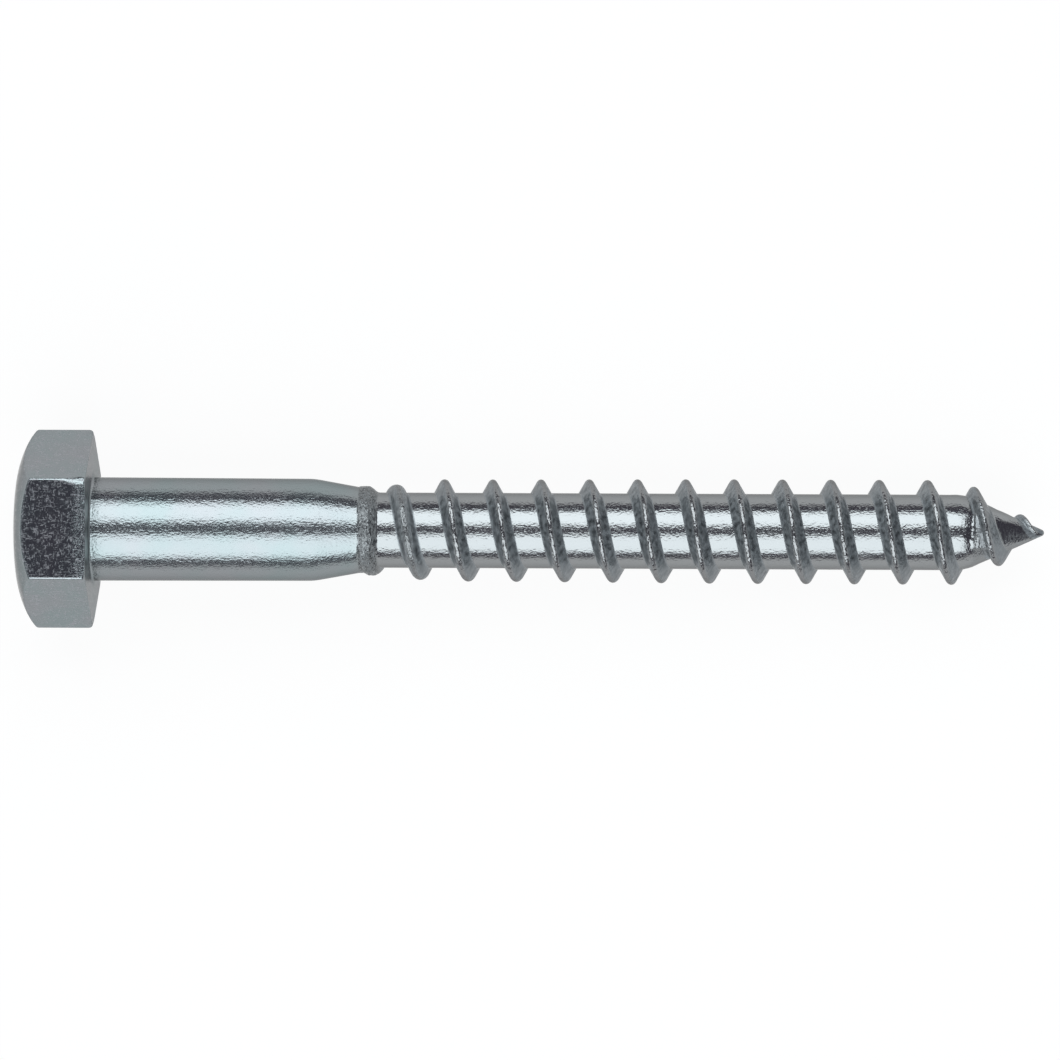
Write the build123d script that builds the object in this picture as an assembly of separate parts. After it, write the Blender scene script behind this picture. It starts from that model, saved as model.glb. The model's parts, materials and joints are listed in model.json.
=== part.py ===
"""Hexagon-head lag screw (coach screw), 8 x 70 mm, forged and rolled in one piece.

The screw is built along +X: the centre of the bearing face under its head is the origin,
the head lies behind it and the point ahead. At the end it is tipped into the pose in
which it rests on a flat surface, on the edge of one flat of the head and on one thread
crest near the point. Sizes are in millimetres and angles in degrees.
"""

import math
import os

from build123d import *

# Hexagon head, with a crowned top
ACROSS_FLATS = 12.86
HEAD_HEIGHT = 5.65
CROWN_SPHERE_RADIUS = 13.2
CROWN_FLAT_RADIUS = 4.3
HEX_EDGE_RADIUS = 0.28
BEARING_EDGE_RADIUS = 0.18
BEARING_CORNER_RADIUS = 0.5

# Plain shank, its neck under the head, the taper at its end, and the collar
# where the thread rolling stopped
SHANK_DIAMETER = 7.68
SHANK_LENGTH = 16.45
NECK_RADIUS = 0.4
TAPER_LENGTH = 3.6
COLLAR_DIAMETER = 6.48
COLLAR_LENGTH = 0.5
COLLAR_FALL = 0.8

# Thread: one ridge of trapezoid section, narrow at its crest
LENGTH_UNDER_HEAD = 71.0
PITCH = 3.6
CORE_DIAMETER = 5.62
CREST_DIAMETER = 7.85
CREST_WIDTH = 0.26
FLANK_ANGLE = 32.0
CREST_PHASE = 1.11

# First turns of the thread, only partly rolled: low and broad
FIRST_CREST_DEPTH = 0.04
FIRST_CREST_WIDTH = 1.0
RUN_IN_LENGTH = 5.0

# Gimlet point, and how the thread runs down it
POINT_HALF_ANGLE = 24.2
TIP_RADIUS = 0.25
CREST_FALL_LEAD = 0.9
CREST_FALL_SLOPE = 0.24
LAST_CREST_DEPTH = 0.06
LAST_CREST_WIDTH = 0.2
LAST_CREST_TO_TIP = 0.7

# How deep the ridge's foot is buried in the core, and how often a loft has a section
FOOT_DEPTH = 0.12
SECTIONS_PER_TURN = 12

# Worked out from the sizes above
apothem = ACROSS_FLATS / 2
corner_radius = ACROSS_FLATS / math.sqrt(3) - HEX_EDGE_RADIUS * (2 / math.sqrt(3) - 1)
shank_radius = SHANK_DIAMETER / 2
collar_radius = COLLAR_DIAMETER / 2
core_radius = CORE_DIAMETER / 2
crest_radius = CREST_DIAMETER / 2
point_slope = math.tan(math.radians(POINT_HALF_ANGLE))
flank_slope = 1 / math.tan(math.radians(FLANK_ANGLE))
thread_start = SHANK_LENGTH + TAPER_LENGTH
level_start = thread_start + RUN_IN_LENGTH
apex = LENGTH_UNDER_HEAD + TIP_RADIUS * (1 / math.sin(math.radians(POINT_HALF_ANGLE)) - 1)
cone_start = apex - core_radius / point_slope
fall_start = cone_start - CREST_FALL_LEAD
thread_end = LENGTH_UNDER_HEAD - LAST_CREST_TO_TIP


def hexagon_head():
    """Hexagon prism with rounded edges, cut to a turned crown and turned bearing corners."""
    centre = math.sqrt(CROWN_SPHERE_RADIUS**2 - CROWN_FLAT_RADIUS**2) - HEAD_HEIGHT
    crown_edge = (-HEAD_HEIGHT, CROWN_FLAT_RADIUS)
    crown_rim = (centre - math.sqrt(CROWN_SPHERE_RADIUS**2 - corner_radius**2), corner_radius)
    bearing_rim = (-BEARING_CORNER_RADIUS, corner_radius)
    bearing_edge = (0, corner_radius - BEARING_CORNER_RADIUS)
    with BuildPart() as head:
        with BuildSketch(Plane.YZ.offset(-HEAD_HEIGHT)):
            RegularPolygon(apothem, 6, major_radius=False)
        extrude(amount=HEAD_HEIGHT)
        fillet(head.edges().filter_by(Axis.X), HEX_EDGE_RADIUS)
        fillet(head.faces().sort_by(Axis.X)[-1].edges(), BEARING_EDGE_RADIUS)
        with BuildSketch(Plane.XY):
            with BuildLine():
                Polyline((0, 0), (-HEAD_HEIGHT, 0), crown_edge)
                RadiusArc(crown_edge, crown_rim, CROWN_SPHERE_RADIUS)
                Line(crown_rim, bearing_rim)
                RadiusArc(bearing_rim, bearing_edge, BEARING_CORNER_RADIUS)
                Line(bearing_edge, (0, 0))
            make_face()
        revolve(axis=Axis.X, mode=Mode.INTERSECT)
    return head.part


def turned_blank():
    """Shank, taper, collar, thread core and conical point, turned about the axis."""
    half_angle = math.radians(POINT_HALF_ANGLE)
    inside_head = -HEAD_HEIGHT / 2
    neck_radius = shank_radius + NECK_RADIUS
    neck_end = (NECK_RADIUS, shank_radius)
    collar_end = thread_start + COLLAR_LENGTH
    tip = (LENGTH_UNDER_HEAD, 0)
    tip_centre = LENGTH_UNDER_HEAD - TIP_RADIUS
    tip_side = (tip_centre + TIP_RADIUS * math.sin(half_angle), TIP_RADIUS * math.cos(half_angle))
    with BuildPart() as blank:
        with BuildSketch(Plane.XY):
            with BuildLine():
                Polyline((inside_head, 0), (inside_head, neck_radius), (0, neck_radius))
                Bezier((0, neck_radius), (0, shank_radius), neck_end)
                Polyline(neck_end, (SHANK_LENGTH, shank_radius), (thread_start, collar_radius),
                         (collar_end, collar_radius), (collar_end + COLLAR_FALL, core_radius),
                         (cone_start, core_radius), tip_side)
                RadiusArc(tip_side, tip, TIP_RADIUS)
                Line(tip, (inside_head, 0))
            make_face()
        revolve(axis=Axis.X)
    return blank.part


def core_radius_at(x):
    """Radius of the thread's core, on its cylinder or on the cone of the point."""
    return min(core_radius, (apex - x) * point_slope)


def between(first, last, share):
    """Value a share of the way from first to last, kept between them."""
    return first + (last - first) * max(0, min(1, share))


def crest_radius_at(x):
    """Radius of the crest: rising from the collar, level, then falling ever more steeply."""
    rising = between(collar_radius - FIRST_CREST_DEPTH, crest_radius, (x - thread_start) / RUN_IN_LENGTH)
    fall_length = thread_end - fall_start
    last_radius = core_radius_at(thread_end) - LAST_CREST_DEPTH
    bend = (crest_radius - last_radius - CREST_FALL_SLOPE * fall_length) / fall_length**2
    fallen = max(0, x - fall_start)
    return rising - CREST_FALL_SLOPE * fallen - bend * fallen**2


def crest_width_at(x):
    """Width of the crest: broad where it is only partly rolled, narrow beyond."""
    run_in = between(FIRST_CREST_WIDTH, CREST_WIDTH, (x - thread_start) / RUN_IN_LENGTH)
    run_out = (x - fall_start) / (thread_end - fall_start)
    return between(run_in, LAST_CREST_WIDTH, run_out)


def ridge_section(x):
    """Section of the ridge in the plane through the axis that its crest crosses at x."""
    crest = crest_radius_at(x)
    half_width = crest_width_at(x) / 2
    buried = core_radius_at(x) - FOOT_DEPTH
    core_fall = (core_radius_at(x) - core_radius_at(x + CREST_FALL_LEAD)) / CREST_FALL_LEAD
    half_foot = (crest + half_width * flank_slope - buried) / (flank_slope - core_fall)
    foot = buried - core_fall * half_foot
    turned = 2 * math.pi * (x - CREST_PHASE) / PITCH
    axial_plane = Plane((x, 0, 0), x_dir=(1, 0, 0), z_dir=(0, -math.sin(turned), math.cos(turned)))
    with BuildSketch(axial_plane) as section:
        with BuildLine():
            Polyline((-half_foot, foot), (-half_width, crest), (half_width, crest),
                     (half_foot, foot), close=True)
        make_face()
    return section.sketch


def level_thread(start, end):
    """Stretch of the ridge with one section, swept along a right-hand helix."""
    helix = Helix(PITCH, end - start, core_radius, center=(start, 0, 0), direction=(1, 0, 0))
    helix_begins = helix @ 0
    helix_angle = math.degrees(math.atan2(helix_begins.Z, helix_begins.Y))
    ridge_angle = 360 * (start - CREST_PHASE) / PITCH
    path = Rot(ridge_angle - helix_angle, 0, 0) * helix
    return sweep(ridge_section(start), path=path, is_frenet=True)


def changing_thread(start, end):
    """Stretch of the ridge whose section changes, lofted from section to section."""
    spans = math.ceil((end - start) / PITCH * SECTIONS_PER_TURN)
    return loft([ridge_section(start + (end - start) * i / spans) for i in range(spans + 1)])


def rest_tilt():
    """Angle by which the axis dips towards the point when the screw lies on a flat."""
    turns = int((thread_end - CREST_PHASE) / PITCH)
    undersides = [CREST_PHASE + PITCH * (turn + 0.75) for turn in range(turns)]
    dips = [math.atan2(apothem - crest_radius_at(x), x) for x in undersides if x > level_start]
    return math.degrees(min(dips))


def lag_screw():
    """The whole screw, lying as it rests."""
    middle = (level_start + fall_start) / 2
    screw = hexagon_head() + turned_blank()
    screw += changing_thread(thread_start, level_start)
    screw += level_thread(level_start, middle)
    screw += level_thread(middle, fall_start)
    screw += changing_thread(fall_start, thread_end)
    return Rot(0, rest_tilt(), 0) * screw


screw = lag_screw()
screw.label = "lag_screw"
os.makedirs("parts", exist_ok=True)
export_step(screw, "parts/lag_screw.step")
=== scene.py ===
import json
import math

import bmesh
import bpy
import numpy as np
from mathutils import Matrix, Vector, noise


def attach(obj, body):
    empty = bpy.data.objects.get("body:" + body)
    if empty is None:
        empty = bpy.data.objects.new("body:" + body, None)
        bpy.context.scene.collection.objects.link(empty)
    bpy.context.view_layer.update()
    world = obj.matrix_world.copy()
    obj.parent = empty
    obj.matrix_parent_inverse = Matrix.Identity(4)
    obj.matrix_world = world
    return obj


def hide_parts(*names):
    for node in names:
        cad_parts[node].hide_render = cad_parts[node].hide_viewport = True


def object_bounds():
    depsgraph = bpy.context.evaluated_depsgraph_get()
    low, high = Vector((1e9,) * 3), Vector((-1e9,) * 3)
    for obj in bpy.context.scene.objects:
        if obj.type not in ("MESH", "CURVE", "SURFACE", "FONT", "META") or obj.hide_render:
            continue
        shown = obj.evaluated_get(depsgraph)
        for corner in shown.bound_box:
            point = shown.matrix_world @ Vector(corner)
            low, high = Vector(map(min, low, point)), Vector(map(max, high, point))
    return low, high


# The screw is modelled along +X with the centre of its bearing face at the origin, in
# metres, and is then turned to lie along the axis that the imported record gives. Angles
# around the axis are counted from +Y towards +Z.
MM = 0.001

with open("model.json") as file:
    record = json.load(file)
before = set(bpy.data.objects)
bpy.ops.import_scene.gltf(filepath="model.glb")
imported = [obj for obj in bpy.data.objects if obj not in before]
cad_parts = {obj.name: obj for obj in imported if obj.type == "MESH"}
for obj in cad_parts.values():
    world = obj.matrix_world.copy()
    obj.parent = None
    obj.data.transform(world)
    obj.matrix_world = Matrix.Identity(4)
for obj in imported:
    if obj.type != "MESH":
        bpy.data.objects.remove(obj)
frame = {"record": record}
cad_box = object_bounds()
mounts = {mount["name"]: mount for mount in frame["record"]["mounts"]}

# Sizes that the record holds
SHANK_RADIUS = mounts["shank"]["dims"]["r_mm"] * MM
CREST_RADIUS = mounts["thread"]["dims"]["r_mm"] * MM
LIE = Vector(mounts["shank"]["axis"])

# Head
APOTHEM = 6.44 * MM
CORNER_RADIUS = APOTHEM / math.cos(math.radians(30))
HEAD_HEIGHT = 5.65 * MM
CROWN_FLAT_RADIUS = 3.0 * MM
CROWN_ARC_RADIUS = 7.5 * MM
HEX_EDGE_RADIUS = 0.2 * MM
CROWN_EDGE = 0.16 * MM
BEARING_EDGE = 0.06 * MM
BEARING_CORNER = 0.35 * MM
NECK_FILLET = 0.18 * MM

# The corner of the hexagon that was knocked: its direction, and how deep its edge is worn
# by the bearing face and everywhere
WORN_CORNER = math.radians(60)
WORN_DEPTH = 0.1 * MM
WORN_START = -1.75 * MM
WORN_FULL = -1.1 * MM
WORN_EVERYWHERE = 0.03 * MM
WORN_RAGGEDNESS = 0.35
RAGGED_LENGTH = 0.35 * MM

# Shank, taper, collar and core
SHANK_END = 16.45 * MM
SHANK_DRAFT = 0.0033
TAPER_END = 20.0 * MM
TAPER_BLEND = 0.08 * MM
COLLAR_RADIUS = 3.2 * MM
COLLAR_END = 20.68 * MM
CORE_START = 21.48 * MM
CORE_RADIUS = 2.81 * MM

# Metal piled up at the collar
WRINKLE_START = 19.9 * MM
WRINKLE_START_FADE = 0.12 * MM
WRINKLE_END = 21.5 * MM
WRINKLE_END_FADE = 0.3 * MM
WRINKLE_DEPTH = 0.0315 * MM
COLLAR_BULGE = 0.08 * MM
BULGE_FALL = (20.6 * MM, 21.3 * MM)

# Thread: its crest rises quickly over the first turn and then slowly, is level, and falls
# at the point
PITCH = 3.6 * MM
CREST_PHASE = 1.11 * MM
FLANK_ANGLE = math.radians(28.5)
CREST_ROUNDING = 0.28 * MM
FOOT_BLEND = 0.1 * MM
THREAD_START = 19.2 * MM
THREAD_START_LENGTH = 1.2 * MM
FIRST_CREST_LOWER = 0.53 * MM
FIRST_RISE = 0.42 * MM
FIRST_RISE_SPAN = (22.3 * MM, 25.6 * MM)
SLOW_RISE = 0.085 * MM
SLOW_RISE_SPAN = (27.0 * MM, 50.0 * MM)
FALL_START = 64.21 * MM
CREST_FALL = 0.226
CREST_FALL_BEND = 53.3

# The first, partly rolled turn has a rounder crest and steeper flanks
FIRST_TURN_END = 22.5 * MM
FIRST_TURN_FADE = 2.0 * MM
FIRST_ROUNDER = 0.44 * MM
FIRST_STEEPER = math.radians(11.0)

# The last full turn lies further back, most of all on the +Y side
LAST_TURN_BACK = 0.07 * MM
LAST_TURN_BACK_SWAY = 0.85
LAST_TURN_BACK_SPAN = (63.0 * MM, 66.0 * MM)

# Fold of metal against the last full turn: where it lies along the screw and round it
FOLD_START = 65.85 * MM
FOLD_END = 66.7 * MM
FOLD_RADIUS = 2.74 * MM
FOLD_RISE = (FOLD_START - 0.15 * MM, FOLD_START)
FOLD_FALL = (FOLD_END, FOLD_END + 0.4 * MM)
FOLD_RISE_TURNS = (0.07, 0.16)
FOLD_FALL_TURNS = (0.32, 0.42)
FOLD_LEAN = 0.2
FOLD_LEAN_TURNS = (0.24, 0.3)
FOLD_BLEND = 0.03 * MM

# Gimlet point, and the shallow dents before it
TIP = 71.0 * MM
TIP_RADIUS = 0.25 * MM
POINT_HALF_ANGLE = math.radians(24.2)
POINT_BLEND = 0.35 * MM
APEX = TIP + TIP_RADIUS * (1 / math.sin(POINT_HALF_ANGLE) - 1)
DENT_DEPTH = 0.025 * MM
DENT_SIZE = 0.6 * MM
DENT_CIRCLE = 2.5 * MM
DENTS_RISE = (62.5 * MM, 64.5 * MM)
DENTS_FALL = (69.0 * MM, 70.4 * MM)

# Mesh density
COLUMNS = 168
SPIRAL_START = 22.0 * MM
SPIRAL_END = 70.45 * MM
SNAP = 0.03 * MM
FILLET_DEGREES = (0, 15, 30, 45, 60, 75)
CONE_RINGS = 12

# Finish: where along the screw, or across the ridge from its crest, each part's own comes
# and goes
STRIP_RISE = (-1.35 * MM, -1.15 * MM)
NECK_RISE = (-0.03 * MM, -0.005 * MM)
NECK_FALL = (0.04 * MM, 0.16 * MM)
THREADED_RISE = (19.0 * MM, 21.0 * MM)
COLLAR_RISE = (19.9 * MM, 20.15 * MM)
COLLAR_FALL = (21.2 * MM, 21.5 * MM)
FULL_RIDGE = 0.9 * MM
FULL_THREAD_RISE = (23.5 * MM, 25.0 * MM)
FULL_THREAD_FALL = (68.2 * MM, 68.8 * MM)
FLANKS_START = 21.5 * MM
FLANK_RISE = (0.1 * MM, 0.28 * MM)
FLANK_FALL = (0.74 * MM, 0.84 * MM)
FOLD_FINISH_RISE = (FOLD_START - 0.2 * MM, FOLD_START)
FOLD_FINISH_FALL = (FOLD_END, FOLD_END + 0.3 * MM)
LAST_BEAD_RISE = (67.8 * MM, 68.3 * MM)
LAST_BEAD_START = 68.6 * MM

# Zinc plate: reflected colours of its parts, with painted shade on the ridge and the flanks, and roughness
# that each part adds to the shank's
PLATE_TINTS = ((0.262, 0.306, 0.314, 1), (0.288, 0.304, 0.318, 1))
PART_TINTS_AND_PAINTED_SHADE = {
    "thread": (0.294, 0.306, 0.313, 1),
    # Ridge: painted shade, darker than the thread for the darker reflections at the ridge tops
    "ridge": (0.248, 0.254, 0.26, 1),
    # Flanks: the plate's own blue cast, made darker as painted shade between the ridges
    "flank": (0.218, 0.238, 0.252, 1),
    "collar": (0.18, 0.19, 0.196, 1),
}
FLECK_TINT = (0.3, 0.28, 0.31, 1)
SHANK_ROUGHNESS = 0.23
ROUGHER_PARTS = {"rolled": 0.14, "thread": -0.0294, "head": -0.0798, "collar": 0.049}

# Stretches that draw the lumps of a noise out along the screw or across it
LENGTHWISE = (0.4, 1, 1)
CROSSWISE = (1, 0.4, 1)

# Light and surroundings
LAMP_COLOUR = (0.94, 1.0, 1.01)
SOFTBOX_DISTANCE = 0.5
SOFTBOX_LENGTH = 0.56
SOFTBOX_X = 0.03
DARK_ROOM = (0.084, 0.076, 0.1, 1)
PALE_ENDS = (0.5, 0.53, 0.54, 1)
FLOOR_SIZE = 3.0
FLOOR_GLOW = 0.92

# Camera: where it looks along the screw and how wide, and how it stands
VIEW_MIDDLE = 32.7 * MM
VIEW_ACROSS = 0.055 * MM
VIEW_WIDTH = 79.1 * MM
CAMERA_DISTANCE = 650 * MM
CAMERA_LEAN = math.radians(2.75)
CAMERA_ROLL = math.radians(0.24)


def smooth_min(a, b, blend):
    """The lesser of two lengths, rounded where they cross."""
    share = np.clip(0.5 + 0.5 * (b - a) / blend, 0, 1)
    return b + (a - b) * share - blend * share * (1 - share)


def smooth_max(a, b, blend):
    """The greater of two lengths, rounded where they cross."""
    return -smooth_min(-a, -b, blend)


def ease(x, first, last):
    """0 before first, 1 after last, and smooth between them."""
    share = np.clip((x - first) / (last - first), 0, 1)
    return share * share * (3 - 2 * share)


def band(x, rise, fall):
    """0 but for a band that comes up over one span, a pair of places, and goes over another."""
    return ease(x, *rise) * (1 - ease(x, *fall))


def blank_radius(x):
    """Radius of the shank, taper, collar, core and cone, before the thread is added."""
    shank = SHANK_RADIUS + SHANK_DRAFT * (SHANK_END / 2 - x)
    taper = COLLAR_RADIUS + (SHANK_RADIUS - COLLAR_RADIUS) * (TAPER_END - x) / (TAPER_END - SHANK_END)
    front = smooth_min(shank, np.maximum(taper, COLLAR_RADIUS), TAPER_BLEND)
    core = front + (CORE_RADIUS - front) * ease(x, COLLAR_END, CORE_START)
    cone = (APEX - x) * math.tan(POINT_HALF_ANGLE)
    return smooth_min(core, cone, POINT_BLEND)


def crest_radius(x):
    """Radius of the crest where it crosses x: rising from the collar, level, then falling."""
    rise = CREST_RADIUS - FIRST_CREST_LOWER + FIRST_RISE * ease(x, *FIRST_RISE_SPAN)
    rise = rise + SLOW_RISE * ease(x, *SLOW_RISE_SPAN)
    fallen = np.maximum(0, x - FALL_START)
    return rise - fallen * (CREST_FALL + CREST_FALL_BEND * fallen)


def on_first_turn(x):
    """1 on the first, partly rolled turn, fading out after it."""
    return np.exp(-np.maximum(0, x - FIRST_TURN_END) / FIRST_TURN_FADE)


def thread_radius(x, turn):
    """Radius of the ridge at x, at an angle of so many turns from +Y towards +Z."""
    sway = 1 + LAST_TURN_BACK_SWAY * np.cos(2 * math.pi * turn)
    back = LAST_TURN_BACK * ease(x, *LAST_TURN_BACK_SPAN) * sway
    across = (x + back - CREST_PHASE - PITCH * turn + PITCH / 2) % PITCH - PITCH / 2
    at_crest = x - across
    rounding = CREST_ROUNDING + FIRST_ROUNDER * on_first_turn(at_crest)
    flank = FLANK_ANGLE - FIRST_STEEPER * on_first_turn(at_crest)
    away = np.abs(across)
    tangent = rounding * np.cos(flank)
    inside = np.sqrt(np.maximum(rounding**2 - np.minimum(away, tangent) ** 2, 0))
    drop = rounding - inside + np.maximum(away - tangent, 0) / np.tan(flank)
    start = ease(at_crest, THREAD_START, THREAD_START + THREAD_START_LENGTH)
    return (crest_radius(at_crest) - drop) * start


def fold_radius(x, turn):
    """Radius of the fold of metal that lies against the last full turn, on the upper side."""
    turn = turn % 1
    share = band(turn, FOLD_RISE_TURNS, FOLD_FALL_TURNS) * band(x, FOLD_RISE, FOLD_FALL)
    leaning = (x - FOLD_START) * FOLD_LEAN * ease(turn, *FOLD_LEAN_TURNS)
    return (FOLD_RADIUS - leaning) * share


def body_radius(x, turn):
    """Radius of the finished shank and thread."""
    thread = smooth_max(blank_radius(x), thread_radius(x, turn), FOOT_BLEND)
    return smooth_max(thread, fold_radius(x, turn), FOLD_BLEND)


def lumps(x, y, z, length, width, shift=0.0):
    """Smooth noise with lumps of that length along the screw and that width across it."""
    return noise.noise(Vector((x / length + shift, y / width, z / width)))


def dent(x, angle):
    """How far the metal pinched at the point stands out of its smooth shape."""
    y, z = DENT_CIRCLE * math.cos(angle), DENT_CIRCLE * math.sin(angle)
    return DENT_DEPTH * lumps(x, y, z, DENT_SIZE, DENT_SIZE) * float(band(x, DENTS_RISE, DENTS_FALL))


def wrinkle(x, angle):
    """How far the metal piled up at the collar stands out of its smooth shape."""
    fade = min(1.0, (x - WRINKLE_START) / WRINKLE_START_FADE, (WRINKLE_END - x) / WRINKLE_END_FADE)
    y, z = COLLAR_RADIUS * math.cos(angle), COLLAR_RADIUS * math.sin(angle)
    folds = lumps(x, y, z, 0.2 * MM, 0.8 * MM)
    beads = lumps(x, y, z, 0.18 * MM, 0.26 * MM, shift=50)
    bulge = COLLAR_BULGE * max(0.0, math.cos(angle)) * float(1 - ease(x, *BULGE_FALL))
    return fade * (WRINKLE_DEPTH * (folds + beads) + bulge)


def unevenness(x, angle):
    """How far the surface stands out of its smooth shape, by dents or by wrinkles."""
    if x > DENTS_RISE[0]:
        return dent(x, angle)
    if WRINKLE_START < x < WRINKLE_END:
        return wrinkle(x, angle)
    return 0.0


def pitch_offsets():
    """Places of the mesh rows across one pitch, from the crest: close together on the ridge."""
    half = [0.08, 0.16, 0.24, 0.34, 0.46, 0.58, 0.68, 0.76, 0.84, 0.94, 1.1, 1.3, 1.55]
    return np.array([-PITCH / MM / 2] + [-step for step in reversed(half)] + [0.0] + half) * MM


class Skin:
    """Points and faces of a round surface, with each point's place on the thread: how far
    it is across the ridge from the crest and how far along the ridge."""

    def __init__(self):
        self.points = []
        self.faces = []
        self.places = []

    def add_point(self, x, radius, turn, winding):
        """A point at an angle of so many turns, beside that winding of the ridge. Returns
        its number."""
        angle = 2 * math.pi * turn
        radius = radius + unevenness(x, angle)
        across = x - CREST_PHASE - PITCH * (winding + turn)
        self.places.append((across, 2 * math.pi * CORE_RADIUS * (winding + turn), 0.0))
        self.points.append((x, radius * math.cos(angle), radius * math.sin(angle)))
        return len(self.points) - 1

    def add_ring(self, x, radii):
        """A ring of points at x, from one radius or from one for each column."""
        ring = []
        for turn, radius in zip(column_turns(), np.broadcast_to(radii, COLUMNS)):
            winding = round((x - CREST_PHASE) / PITCH - turn)
            ring.append(self.add_point(x, float(radius), turn, winding))
        return ring

    def join(self, a, b):
        """Faces between two rings."""
        for j in range(COLUMNS):
            after = (j + 1) % COLUMNS
            self.faces.append((a[j], a[after], b[after], b[j]))


def column_turns():
    """Angle of each column of the body's mesh, in turns."""
    return np.arange(COLUMNS) / COLUMNS


def add_shank(skin):
    """Neck, shank, taper and collar. Returns the first and the last ring."""
    rings = []
    for degrees in FILLET_DEGREES:
        x = NECK_FILLET * (1 - math.cos(math.radians(degrees)))
        flare = NECK_FILLET * (1 - math.sin(math.radians(degrees)))
        rings.append(skin.add_ring(x, blank_radius(x) + flare))
    # Rings further apart on the plain shank, closer on the taper and closest on the collar
    straight = [NECK_FILLET, 0.3 * MM, 0.6 * MM]
    straight += list(np.linspace(1.2 * MM, 15.2 * MM, 15))
    straight += list(np.linspace(15.5 * MM, 19.2 * MM, 18))
    straight += list(np.linspace(19.3 * MM, SPIRAL_START, 36))
    for x in straight:
        rings.append(skin.add_ring(x, body_radius(np.full(COLUMNS, x), column_turns())))
    for a, b in zip(rings, rings[1:]):
        skin.join(a, b)
    return rings[0], rings[-1]


def add_thread(skin, start_ring):
    """Thread and core between start_ring and the point, in rows that follow the ridge.
    Returns the last ring."""
    offsets = pitch_offsets()
    per_turn = len(offsets)
    first_turn = math.floor((SPIRAL_START - CREST_PHASE) / PITCH) - 1
    last_turn = math.ceil((SPIRAL_END - CREST_PHASE) / PITCH) + 2
    levels = np.concatenate([CREST_PHASE + PITCH * turn + offsets for turn in range(first_turn, last_turn)])
    end_ring = skin.add_ring(SPIRAL_END, body_radius(np.full(COLUMNS, SPIRAL_END), column_turns()))
    index = np.zeros((len(levels), COLUMNS + 1), dtype=int)
    for j, turn in enumerate(column_turns()):
        xs = levels + PITCH * turn
        radii = body_radius(xs, np.full(len(xs), turn))
        for i, (x, radius) in enumerate(zip(xs, radii)):
            if x < SPIRAL_START + SNAP:
                index[i, j] = start_ring[j]
            elif x > SPIRAL_END - SNAP:
                index[i, j] = end_ring[j]
            else:
                index[i, j] = skin.add_point(x, float(radius), turn, first_turn + i // per_turn)
    index[:-per_turn, COLUMNS] = index[per_turn:, 0]
    index[-per_turn:, COLUMNS] = end_ring[0]
    for i in range(len(levels) - 1):
        for j in range(COLUMNS):
            corners = (index[i, j], index[i, j + 1], index[i + 1, j + 1], index[i + 1, j])
            face = [int(c) for k, c in enumerate(corners) if c != corners[k - 1]]
            if len(set(face)) > 2:
                skin.faces.append(tuple(face))
    return end_ring


def add_tip(skin, ring):
    """The end of the cone, from ring, and the rounded tip."""
    tangent = TIP - TIP_RADIUS * (1 - math.sin(POINT_HALF_ANGLE))
    for x in np.linspace(SPIRAL_END, TIP, CONE_RINGS + 2)[1:-1]:
        cone = (APEX - x) * math.tan(POINT_HALF_ANGLE)
        ball = math.sqrt(max(TIP_RADIUS**2 - max(0, x - TIP + TIP_RADIUS) ** 2, 0))
        after = skin.add_ring(x, cone if x < tangent else ball)
        skin.join(ring, after)
        ring = after
    pole = skin.add_point(TIP, 0.0, 0.0, 0)
    for j in range(COLUMNS):
        skin.faces.append((ring[j], ring[(j + 1) % COLUMNS], pole))


def hexagon_outline():
    """Points (y, z) around the hexagon with its rounded edges, a flat facing +Z."""
    reach = (APOTHEM - HEX_EDGE_RADIUS) / math.cos(math.radians(30))
    half_flat = (APOTHEM - HEX_EDGE_RADIUS) * math.tan(math.radians(30))
    outline = []
    for side in range(6):
        corner = math.radians(60 * side)
        for bend in (-30, -22.5, -15, -7.5, 0, 7.5, 15, 22.5, 30):
            y = reach * math.cos(corner) + HEX_EDGE_RADIUS * math.cos(corner + math.radians(bend))
            z = reach * math.sin(corner) + HEX_EDGE_RADIUS * math.sin(corner + math.radians(bend))
            outline.append((y, z))
        facing = corner + math.radians(30)
        for share in (-0.98, -0.9, -0.75, -0.5, -0.25, 0, 0.25, 0.5, 0.75, 0.9, 0.98):
            y = APOTHEM * math.cos(facing) - half_flat * share * math.sin(facing)
            z = APOTHEM * math.sin(facing) + half_flat * share * math.cos(facing)
            outline.append((y, z))
    return outline


def crown_height(radius):
    """Height of the crown above the bearing face."""
    out = max(0.0, radius - CROWN_FLAT_RADIUS)
    return HEAD_HEIGHT - (CROWN_ARC_RADIUS - math.sqrt(CROWN_ARC_RADIUS**2 - out**2))


def bent(a, corner, b, count):
    """Points on a curve that starts at a towards corner and ends at b."""
    steps = [i / count for i in range(count + 1)]
    return [tuple((1 - s) ** 2 * p + 2 * s * (1 - s) * q + s * s * r for p, q, r in zip(a, corner, b))
            for s in steps]


def head_profile(radius):
    """Section of the head where the hexagon has that radius, as (radius, height) pairs,
    from beside the crown's centre to inside the bearing face."""
    corner_share = float(ease(radius, APOTHEM * 1.07, CORNER_RADIUS))
    edge = BEARING_EDGE + (BEARING_CORNER - BEARING_EDGE) * corner_share
    shoulder = radius - CROWN_EDGE
    profile = [(shoulder * share, crown_height(shoulder * share))
               for share in (0.12, 0.25, 0.38, 0.5, 0.6, 0.7, 0.78, 0.86, 0.93, 0.975)]
    rim = (radius, crown_height(radius))
    top = rim[1] - CROWN_EDGE
    profile += bent((shoulder, crown_height(shoulder)), rim, (radius, top), 6)
    profile += [(radius, edge + (top - edge) * share) for share in (0.97, 0.85, 0.6, 0.35, 0.12, 0.03)]
    profile += bent((radius, edge), (radius, 0.0), (radius - edge, 0.0), 8)
    inner = SHANK_RADIUS + NECK_FILLET
    profile += [(inner + (radius - edge - inner) * share, 0.0) for share in (0.95, 0.7, 0.4, 0.12)]
    return profile


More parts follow.
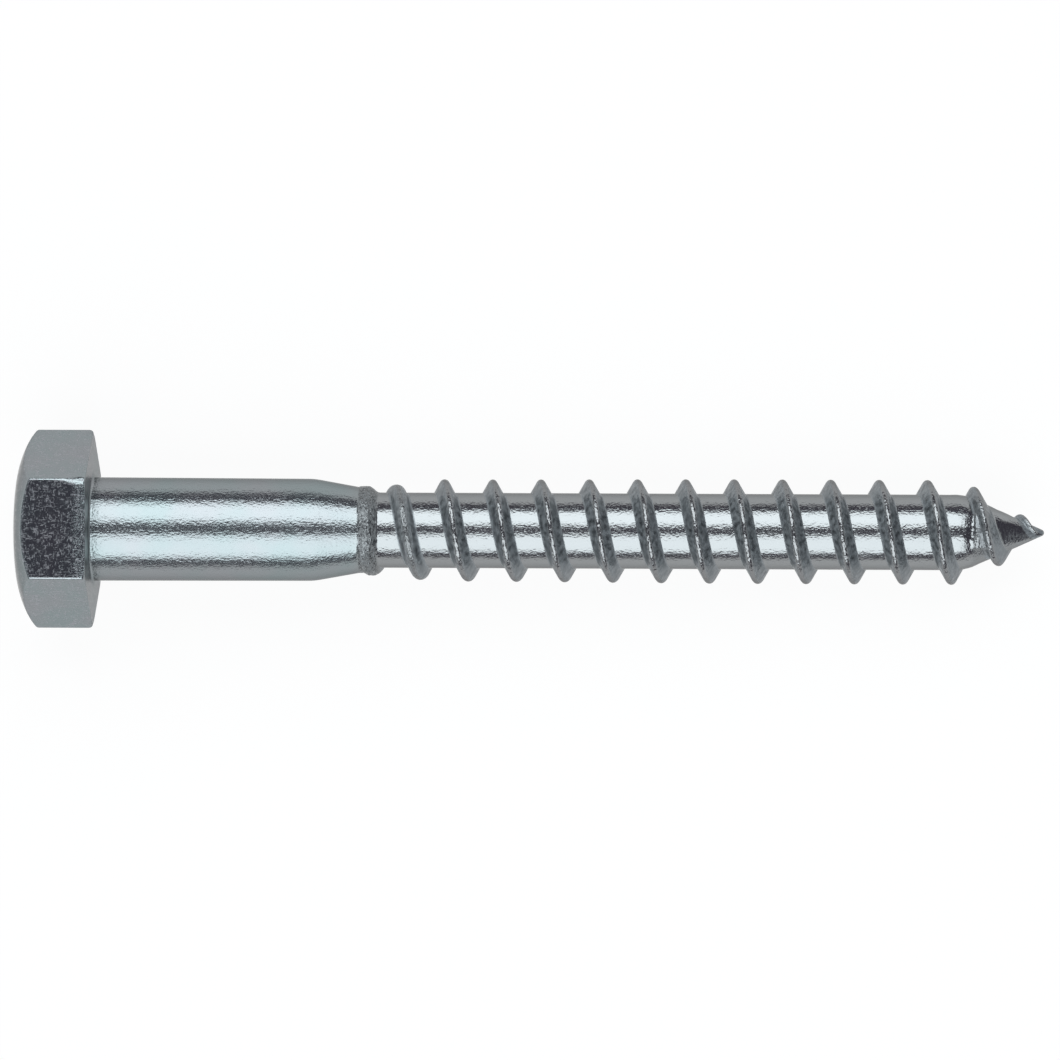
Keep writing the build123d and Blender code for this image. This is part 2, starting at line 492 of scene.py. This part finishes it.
def worn(x, y, z):
    """A point of the head, moved in where the corner that was knocked has lost its edge."""
    outward = y * math.cos(WORN_CORNER) + z * math.sin(WORN_CORNER)
    ragged = WORN_RAGGEDNESS * noise.noise(Vector((x / RAGGED_LENGTH, 0.0, 7.0)))
    depth = WORN_DEPTH * float(ease(x, WORN_START, WORN_FULL)) * (1 + ragged)
    depth += WORN_EVERYWHERE * (1 + 2 * ragged)
    extra = max(0.0, outward - (CORNER_RADIUS - depth))
    return x, y - extra * math.cos(WORN_CORNER), z - extra * math.sin(WORN_CORNER)


def is_on_rim(r, height, radius):
    """True on the crown's rounded rim, where the hexagon has that radius."""
    reach = 0.9 * CROWN_EDGE
    return abs(r - radius) < reach and height > crown_height(radius) - reach


def head_mesh():
    """The head: a profile for each point of the hexagon. Returns the points, the faces, the
    last ring, on the bearing face, and how far each point is on the crown's rim."""
    points = [(-HEAD_HEIGHT, 0.0, 0.0)]
    rim = [0.0]
    columns = []
    for y, z in hexagon_outline():
        radius = math.hypot(y, z)
        column = []
        for r, height in head_profile(radius):
            column.append(len(points))
            rim.append(float(is_on_rim(r, height, radius)))
            points.append(worn(-height, y * r / radius, z * r / radius))
        columns.append(column)
    faces = []
    for j, column in enumerate(columns):
        after = columns[(j + 1) % len(columns)]
        faces.append((0, after[0], column[0]))
        for i in range(len(column) - 1):
            faces.append((column[i], after[i], after[i + 1], column[i + 1]))
    return np.array(points), faces, [column[-1] for column in columns], rim


def join_unlike(points, outer, inner, faces):
    """Triangles between two rings with different numbers of points, both going round from +Y."""
    def angle(i):
        return math.atan2(points[i][2], points[i][1]) % (2 * math.pi)

    def next_angle(ring, i):
        """Angle of the point after point i of a ring, more than a full turn once round."""
        return angle(ring[i + 1]) if i + 1 < len(ring) else angle(ring[(i + 1) % len(ring)]) + 2 * math.pi

    outer = sorted(outer, key=angle)
    inner = sorted(inner, key=angle)
    i = j = 0
    while i < len(outer) or j < len(inner):
        here = (outer[i % len(outer)], inner[j % len(inner)])
        outer_is_next = i < len(outer) and next_angle(outer, i) <= next_angle(inner, j)
        if j >= len(inner) or outer_is_next:
            faces.append((here[0], outer[(i + 1) % len(outer)], here[1]))
            i += 1
        else:
            faces.append((here[0], inner[(j + 1) % len(inner)], here[1]))
            j += 1


def finish_masks(points, across, first_of_head, rim):
    """How far each point is on each part of the screw that has a finish of its own."""
    x, y, z = points.T
    on_head = np.zeros(len(points))
    on_head[first_of_head:] = 1
    on_body = 1 - on_head
    ridge = np.clip((np.hypot(y, z) - blank_radius(x)) / FULL_RIDGE, 0, 1) * (x > THREAD_START) * on_body
    low_turns = ridge * (1 - band(x, FULL_THREAD_RISE, FULL_THREAD_FALL))
    fold = band(x, FOLD_FINISH_RISE, FOLD_FINISH_FALL) * ease(z, 1.0 * MM, 1.6 * MM)
    flank = band(across, FLANK_RISE, FLANK_FALL) * (x > FLANKS_START)
    neck = band(x, NECK_RISE, NECK_FALL)
    neck[first_of_head:] = np.maximum(neck[first_of_head:], 0.8 * np.array(rim))
    # Crumpled and dull: the collar wholly; the low turns, the fold and the last bead in part
    crumpled = [
        band(x, COLLAR_RISE, COLLAR_FALL),
        0.75 * low_turns * (x < FULL_THREAD_RISE[1]),
        0.4 * low_turns * (x > LAST_BEAD_START),
        0.3 * ease(x, *LAST_BEAD_RISE) * ease(-y, -0.1 * MM, 0.35 * MM),
        fold * (0.15 + 0.3 * ease(-y, -0.1 * MM, 0.2 * MM)),
    ]
    return {
        "ridge": ridge,
        "flank": flank * (1 - 0.4 * fold) * on_body,
        "first": low_turns,
        "thread": ease(x, *THREADED_RISE),
        "collar": np.maximum.reduce(crumpled),
        "head": on_head,
        "strip": on_head * ease(x, *STRIP_RISE),
        "neck": neck,
    }


def build_screw():
    """The whole screw as one closed mesh."""
    skin = Skin()
    neck_ring, collar_ring = add_shank(skin)
    add_tip(skin, add_thread(skin, collar_ring))
    head_points, head_faces, bearing_ring, rim = head_mesh()
    shift = len(skin.points)
    points = np.vstack([np.array(skin.points), head_points])
    faces = skin.faces + [tuple(i + shift for i in face) for face in head_faces]
    join_unlike(points, [i + shift for i in bearing_ring], neck_ring, faces)
    mesh = bpy.data.meshes.new("screw")
    mesh.from_pydata(points.tolist(), [], faces)

    places = np.array(skin.places + [(0.0, 0.0, 0.0)] * len(head_points))
    masks = finish_masks(points, np.abs(places[:, 0]), shift, rim)
    for name, values in masks.items():
        mesh.attributes.new(name, "FLOAT", "POINT").data.foreach_set("value", values)
    thread_place = mesh.attributes.new("thread_place", "FLOAT_VECTOR", "POINT")
    thread_place.data.foreach_set("vector", places.ravel())

    outward = bmesh.new()
    outward.from_mesh(mesh)
    bmesh.ops.recalc_face_normals(outward, faces=outward.faces)
    outward.to_mesh(mesh)
    outward.free()
    mesh.shade_smooth()
    piece = bpy.data.objects.new("screw", mesh)
    bpy.context.scene.collection.objects.link(piece)
    return piece


def node(tree, kind, inputs=(), **settings):
    """A new node with its settings. An input given as a socket is linked, another is set."""
    made = tree.nodes.new("ShaderNode" + kind)
    for name, value in settings.items():
        setattr(made, name, value)
    for name, value in dict(inputs).items():
        if isinstance(value, bpy.types.NodeSocket):
            tree.links.new(value, made.inputs[name])
        else:
            made.inputs[name].default_value = value
    return made


def calculated(tree, operation, *values):
    """Result of a Math node."""
    return node(tree, "Math", dict(enumerate(values)), operation=operation).outputs["Value"]


def mixed(tree, share, a, b):
    """Colour that goes from a to b with the share."""
    colours = node(tree, "Mix", {"Factor": share, "A": a, "B": b}, data_type="RGBA")
    return colours.outputs["Result"]


def spread(tree, value, before, after, **settings):
    """A value brought from one range, a pair of numbers, to another."""
    ranges = dict(zip(("From Min", "From Max", "To Min", "To Max"), before + after))
    return node(tree, "MapRange", {"Value": value, **ranges}, **settings).outputs["Result"]


def mottle(tree, source, scale, detail=2.0, stretch=(1, 1, 1)):
    """Noise with lumps of 1 / scale metres, drawn out where stretch is under 1."""
    stretched = node(tree, "Mapping", {"Vector": source, "Scale": stretch}).outputs["Vector"]
    return node(tree, "TexNoise", {"Vector": stretched, "Scale": scale, "Detail": detail}).outputs["Fac"]


def masked(tree, value, mask, low=0.0, high=1.0):
    """A value times a mask that runs from low, where the mask is 0, to high, where it is 1."""
    return calculated(tree, "MULTIPLY", spread(tree, mask, (0, 1), (low, high)), value)


def peaks(tree, height):
    """Only the tops of a noise, as separate flecks."""
    return spread(tree, height, (0.55, 0.85), (0, 1), interpolation_type="SMOOTHSTEP")


def forged_flecks(tree, place):
    """Flecks of the forged head that run both ways, more crowded here and there."""
    lengthwise = mottle(tree, place, 10000.0, 1.0, LENGTHWISE)
    crosswise = mottle(tree, place, 10000.0, 1.0, CROSSWISE)
    crowded = calculated(tree, "MULTIPLY_ADD", mottle(tree, place, 2200.0, 1.0), 0.3, -0.15)
    sown = calculated(tree, "ADD", calculated(tree, "MAXIMUM", lengthwise, crosswise), crowded)
    return spread(tree, sown, (0.56, 0.76), (0.0, 0.62))


def zinc_colour_and_painted_shade(tree, place, masks, flecks):
    """Cloudy blue-grey, darker on each part of the thread and at the collar, with flecks. The darker ridge
    and flanks are painted shade.
    """
    ramp = node(tree, "ValToRGB", {"Fac": mottle(tree, place, 260.0)})
    for stop, position, tint in zip(ramp.color_ramp.elements, (0.35, 0.65), PLATE_TINTS):
        stop.position = position
        stop.color = tint
    colour = ramp.outputs["Color"]
    # Tints of the parts; those of the ridge and the flanks are darkened as painted shade
    for part, tint in PART_TINTS_AND_PAINTED_SHADE.items():
        colour = mixed(tree, masks[part], colour, tint)
    return mixed(tree, masked(tree, flecks, masks["head"]), colour, FLECK_TINT)


def zinc_roughness(tree, masks):
    """Rougher on the flanks, neck and collar, smoother on the core and the head."""
    parts = dict(masks, rolled=calculated(tree, "MAXIMUM", masks["flank"], masks["neck"]))
    roughness = SHANK_ROUGHNESS
    for part, more in ROUGHER_PARTS.items():
        roughness = calculated(tree, "MULTIPLY_ADD", parts[part], more, roughness)
    return roughness


def zinc_metal_share(tree, place, along, masks, flecks):
    """1 where the plate is bright, less where it is dull."""
    blotches = spread(tree, mottle(tree, along, 3600.0, 3.0, (1, 0.8, 1)), (0.36, 0.64), (0.12, 0.85))
    piled = spread(tree, mottle(tree, place, 6000.0, 2.0, (1, 0.5, 1)), (0.38, 0.62), (0.0, 0.85))
    dull = masked(tree, masks["neck"], masks["neck"], 0.0, 0.14)
    for part, share in (("flank", blotches), ("head", flecks), ("collar", piled)):
        dull = calculated(tree, "MULTIPLY_ADD", masks[part], share, dull)
    bright = node(tree, "Math", {0: 1.0, 1: dull}, operation="SUBTRACT", use_clamp=True)
    return bright.outputs["Value"]


def zinc_bumps(tree, place, along, masks):
    """Normal of the finely uneven surface, from layers of (height, mask, its range, depth)."""
    layers = [
        (mottle(tree, place, 3400.0, 2.0, (0.65, 1, 1)), "head", (1.0, 0.15), 0.021),
        (mottle(tree, place, 7500.0, 1.0, (0.7, 1, 1)), "head", (1.0, 0.22), 0.019),
        (mottle(tree, along, 6000.0, 1.0, (1, 0.6, 1)), "ridge", (0.0, 1.0), 0.07),
        (mottle(tree, along, 9000.0, 1.0, (1, 0.15, 1)), "first", (0.0, 1.0), 0.06),
        (mottle(tree, place, 6500.0, 1.0, CROSSWISE), "collar", (0.0, 1.0), 0.11),
        (peaks(tree, mottle(tree, place, 11000.0, 1.0, LENGTHWISE)), "head", (0.0, 1.0), 0.0024),
        (peaks(tree, mottle(tree, place, 11000.0, 1.0, CROSSWISE)), "head", (0.0, 1.0), 0.0024),
        (mottle(tree, place, 9000.0, 2.0), "strip", (0.0, 1.0), 0.02),
    ]
    below = {}
    for height, part, (low, high), depth in layers:
        shape = masked(tree, height, masks[part], low, high)
        bump = node(tree, "Bump", {"Height": shape, "Distance": depth * MM, **below})
        below = {"Normal": bump.outputs["Normal"]}
    return below["Normal"]


def zinc():
    """Bright zinc plate: a metal with a faint blue-grey cast and a finely mottled surface."""
    material = bpy.data.materials.new("zinc_plate")
    material.use_nodes = True
    tree = material.node_tree
    shader = tree.nodes["Principled BSDF"]
    shader.inputs["Specular Tint"].default_value = (0.5, 0.5, 0.5, 1)

    lying = node(tree, "TexCoord").outputs["Object"]
    dip = math.atan2(LIE.z, LIE.x)
    place = node(tree, "Mapping", {"Vector": lying, "Rotation": (0, dip, 0)}).outputs["Vector"]
    along = node(tree, "Attribute", attribute_name="thread_place").outputs["Vector"]
    masks = {}
    for part in ("ridge", "flank", "first", "thread", "collar", "head", "strip", "neck"):
        masks[part] = node(tree, "Attribute", attribute_name=part).outputs["Fac"]

    flecks = forged_flecks(tree, place)
    finish = {
        "Base Color": zinc_colour_and_painted_shade(tree, place, masks, flecks),
        "Roughness": zinc_roughness(tree, masks),
        "Metallic": zinc_metal_share(tree, place, along, masks, flecks),
        "Normal": zinc_bumps(tree, place, along, masks),
    }
    for name, socket in finish.items():
        tree.links.new(socket, shader.inputs[name])
    return material


def floor_material():
    """White paper, which shows as white and keeps the screw's shadow."""
    material = bpy.data.materials.new("white_floor")
    material.use_nodes = True
    tree = material.node_tree
    tree.nodes.remove(tree.nodes["Principled BSDF"])
    paper = node(tree, "BsdfDiffuse", {"Color": (0.9, 0.9, 0.9, 1)})
    glow = node(tree, "Emission")
    path = node(tree, "LightPath").outputs
    seen = calculated(tree, "MAXIMUM", path["Is Camera Ray"], path["Is Glossy Ray"])
    seen = calculated(tree, "MAXIMUM", seen, path["Is Transmission Ray"])
    mix = node(tree, "MixShader", {0: calculated(tree, "MULTIPLY", seen, FLOOR_GLOW),
                                   1: paper.outputs[0], 2: glow.outputs[0]})
    tree.links.new(mix.outputs[0], tree.nodes["Material Output"].inputs["Surface"])
    return material


def place_floor():
    """The surface that the screw lies on."""
    height = cad_box[0][2]
    mesh = bpy.data.meshes.new("floor")
    corners = [(x * FLOOR_SIZE, y * FLOOR_SIZE, height) for x, y in ((-1, -1), (1, -1), (1, 1), (-1, 1))]
    mesh.from_pydata(corners, [], [(0, 1, 2, 3)])
    floor = bpy.data.objects.new("floor", mesh)
    bpy.context.scene.collection.objects.link(floor)
    mesh.materials.append(floor_material())


def softbox(name, nearest, farthest, radiance):
    """A long soft box beside the camera, seen from the screw between two angles from straight up.
    Negative angles put it on the -Y side."""
    middle = math.radians((nearest + farthest) / 2)
    width = 2 * SOFTBOX_DISTANCE * math.tan(math.radians(abs(farthest - nearest) / 2))
    light = bpy.data.lights.new(name, "AREA")
    light.shape = "RECTANGLE"
    light.size = SOFTBOX_LENGTH
    light.size_y = width
    light.energy = radiance * math.pi * SOFTBOX_LENGTH * width
    light.color = LAMP_COLOUR
    lamp = bpy.data.objects.new(name, light)
    bpy.context.scene.collection.objects.link(lamp)
    lamp.location = (SOFTBOX_X, SOFTBOX_DISTANCE * math.sin(middle), SOFTBOX_DISTANCE * math.cos(middle))
    lamp.rotation_euler = (-middle, 0, 0)


def light_room():
    """Dark surroundings above and beside the screw, paler low down beyond its two ends."""
    world = bpy.data.worlds.new("room")
    bpy.context.scene.world = world
    world.use_nodes = True
    tree = world.node_tree
    direction = node(tree, "SeparateXYZ", {"Vector": node(tree, "TexCoord").outputs["Generated"]}).outputs

    def share(axis, first, last):
        """0 before first and 1 after last, along one coordinate of the direction."""
        return spread(tree, direction[axis], (first, last), (0, 1), interpolation_type="SMOOTHSTEP")

    beyond_head = calculated(tree, "MULTIPLY", share("X", -0.45, -0.7), share("Z", 0.6, 0.35))
    beyond_point = share("X", 0.8, 0.93)
    ends = calculated(tree, "MAXIMUM", beyond_head, beyond_point)
    tree.links.new(mixed(tree, ends, DARK_ROOM, PALE_ENDS), tree.nodes["Background"].inputs["Color"])


def lie_matrix():
    """Turns the screw from +X to the axis it lies along."""
    return Matrix.Rotation(math.atan2(-LIE.z, LIE.x), 4, "Y")


def place_camera():
    """Above the screw, square to its axis but for a small lean towards the point."""
    turn = lie_matrix().to_3x3()
    back = turn @ Vector((math.sin(CAMERA_LEAN), 0, math.cos(CAMERA_LEAN)))
    along = turn @ Vector((math.cos(CAMERA_LEAN), 0, -math.sin(CAMERA_LEAN)))
    across = Vector((0, 1, 0))
    right = along * math.cos(CAMERA_ROLL) + across * math.sin(CAMERA_ROLL)
    up = across * math.cos(CAMERA_ROLL) - along * math.sin(CAMERA_ROLL)
    place = turn @ Vector((VIEW_MIDDLE, VIEW_ACROSS, 0)) + back * CAMERA_DISTANCE
    camera = bpy.data.objects.new("camera", bpy.data.cameras.new("camera"))
    bpy.context.scene.collection.objects.link(camera)
    camera.data.sensor_fit = "HORIZONTAL"
    camera.data.angle = 2 * math.atan(VIEW_WIDTH / 2 / CAMERA_DISTANCE)
    camera.data.clip_start = 0.01
    camera.matrix_world = Matrix((
        (right.x, up.x, back.x, place.x),
        (right.y, up.y, back.y, place.y),
        (right.z, up.z, back.z, place.z),
        (0, 0, 0, 1)))
    bpy.context.scene.camera = camera


screw = build_screw()
screw.data.transform(lie_matrix())
screw.data.materials.append(zinc())
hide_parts("lag_screw")
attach(screw, "root")

place_floor()
softbox("softbox_back", 16, 62, 2.8)
softbox("softbox_front", -12, -68, 2.6)
light_room()
place_camera()
bpy.context.scene.view_settings.view_transform = "Standard"
